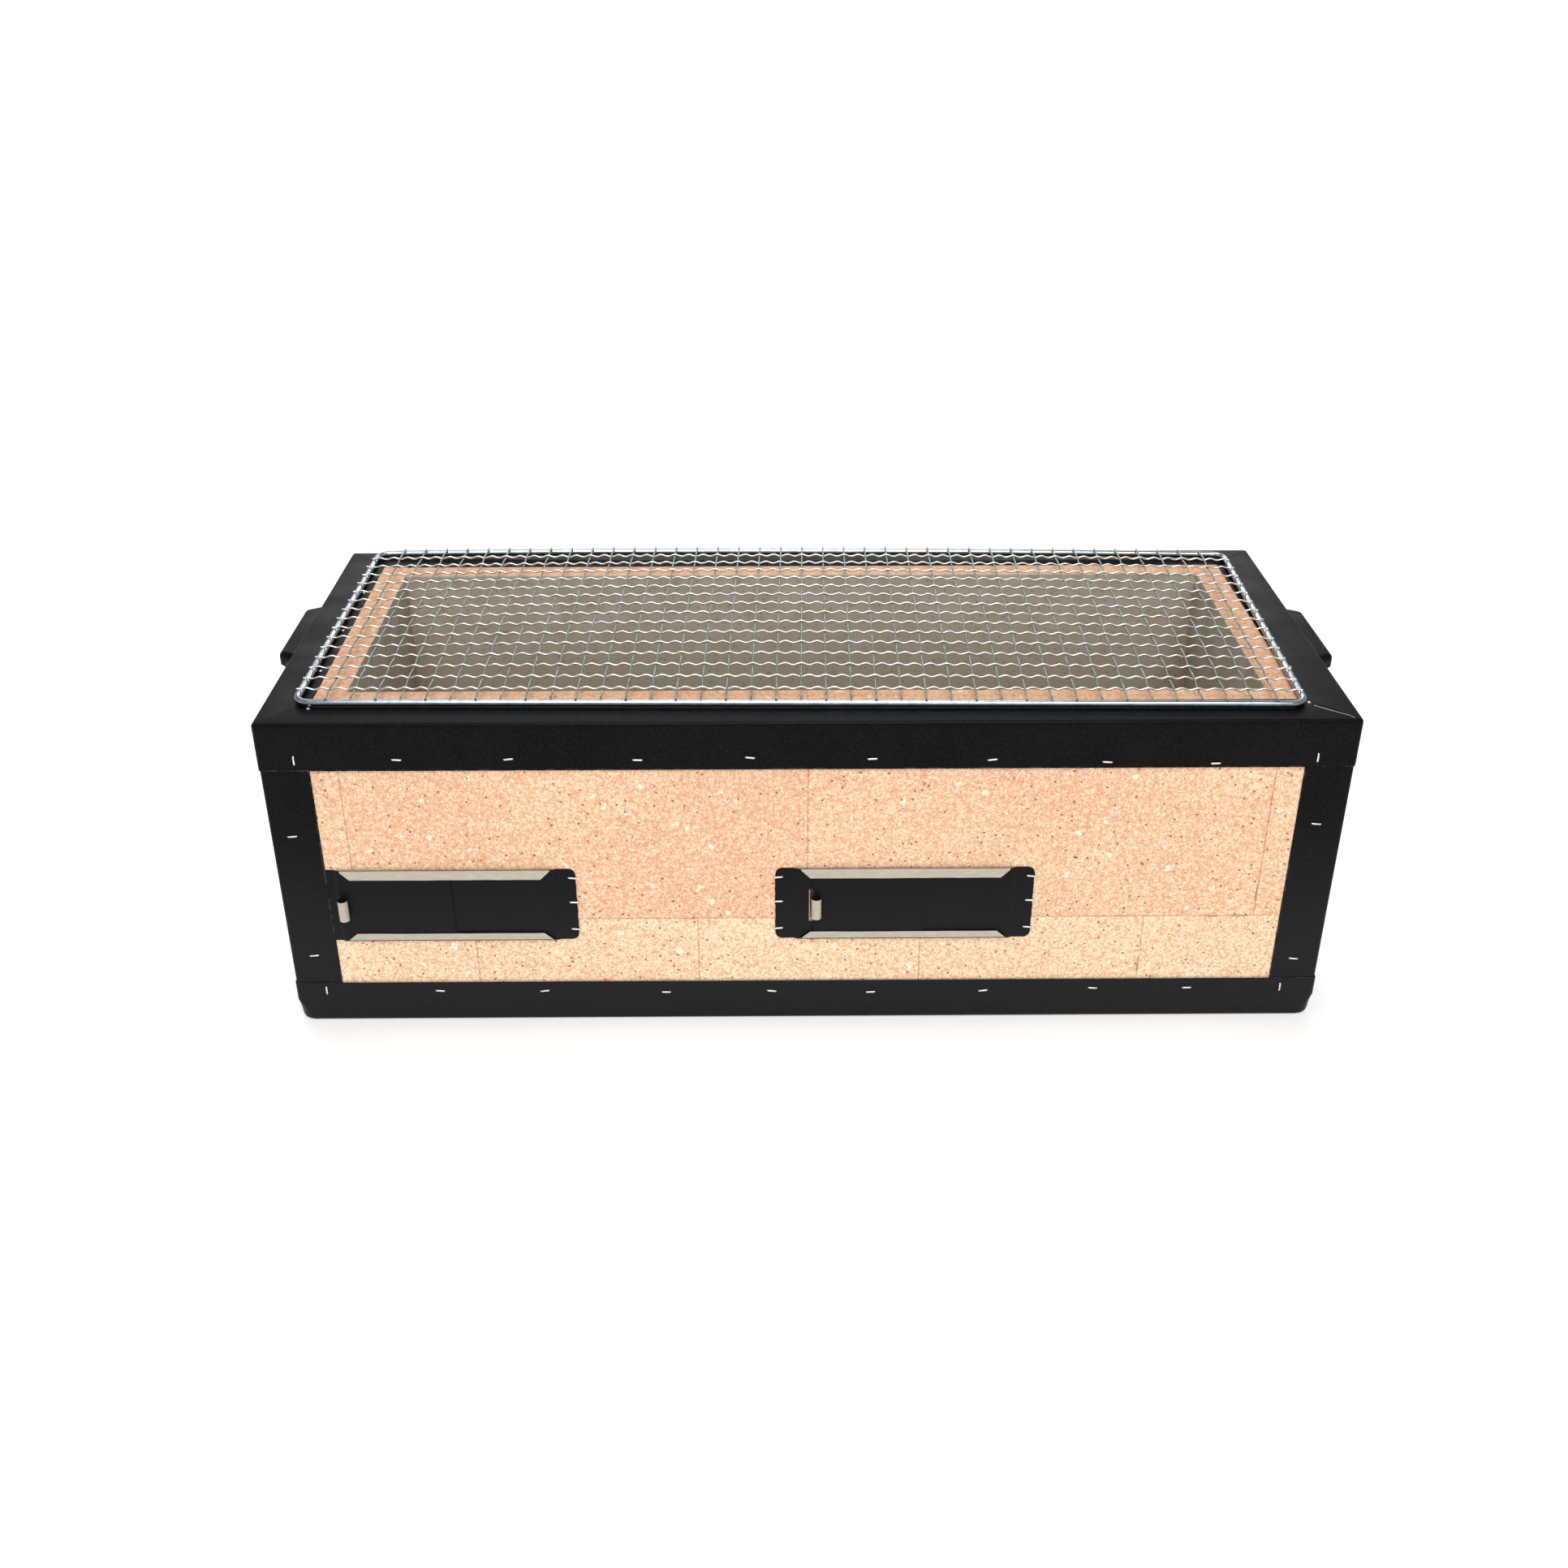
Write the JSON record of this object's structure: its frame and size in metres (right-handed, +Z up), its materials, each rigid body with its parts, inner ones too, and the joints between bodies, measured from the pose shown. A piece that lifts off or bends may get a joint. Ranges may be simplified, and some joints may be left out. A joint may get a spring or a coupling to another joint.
{
  "type": "hibachi grill",
  "caption": "Long box-shaped tabletop charcoal grill of fire brick in black steel edge frames, with sliding front air vents, end handles, a charcoal grate and a lift-off wire cooking net.",
  "frame": {"origin": "centre of the box's footprint on the surface it stands on", "axes": "+X to the right along the long side, +Y from the vent side to the back, +Z up"},
  "size_m": [0.6052, 0.2541, 0.1975],
  "materials": {
    "fire_brick_wall": "matte porous soft fire brick",
    "fire_brick_base": "matte porous soft fire brick, paler",
    "black_paint": "satin black paint on sheet steel",
    "vent_sheet": "satin black on the front of the sheet, unpainted pale grey on its back",
    "net_wire": "bright plated wire",
    "grate_steel": "dull grey steel wire",
    "staple_zinc": "bright zinc-plated wire"
  },
  "bodies": {
    "grill_box": {"back_brick_left": "fire_brick_wall", "back_brick_right": "fire_brick_wall", "base_brick_1": "fire_brick_base", "base_brick_2": "fire_brick_base", "base_brick_3": "fire_brick_base", "base_brick_4": "fire_brick_base", "base_brick_5": "fire_brick_base", "base_frame": "black_paint", "end_brick_left": "fire_brick_wall", "end_brick_right": "fire_brick_wall", "flange_pins": "staple_zinc", "front_brick_left": "fire_brick_wall", "front_brick_right": "fire_brick_wall", "handle_left": "black_paint", "handle_right": "black_paint", "handle_staples": "staple_zinc", "post_back_left": "black_paint", "post_back_right": "black_paint", "post_front_left": "black_paint", "post_front_right": "black_paint", "staples_back": "staple_zinc", "staples_front": "staple_zinc", "staples_left": "staple_zinc", "staples_right": "staple_zinc", "top_frame": "black_paint", "vent_frame_left": "vent_sheet", "vent_frame_right": "vent_sheet", "vent_staples": "staple_zinc"},
    "cooking_net": {"net_cross_wires": "net_wire", "net_long_wires": "net_wire", "net_rim": "net_wire"},
    "charcoal_grate": {"grate_bars": "grate_steel", "grate_rim": "grate_steel"},
    "left_vent_slider": {"vent_slider_left": "vent_sheet"},
    "right_vent_slider": {"vent_slider_right": "vent_sheet"}
  },
  "joints": [
    {"name": "net_lift", "type": "slide", "parent": "grill_box", "child": "cooking_net", "axis": [0, 0, 1], "range_m": [0, 0.15]},
    {"name": "grate_lift", "type": "slide", "parent": "grill_box", "child": "charcoal_grate", "axis": [0, 0, 1], "range_m": [0, 0.08]},
    {"name": "left_vent_slide", "type": "slide", "parent": "grill_box", "child": "left_vent_slider", "axis": [1, 0, 0], "range_m": [0, 0.055]},
    {"name": "right_vent_slide", "type": "slide", "parent": "grill_box", "child": "right_vent_slider", "axis": [1, 0, 0], "range_m": [-0.0082, 0.0468]}
  ]
}
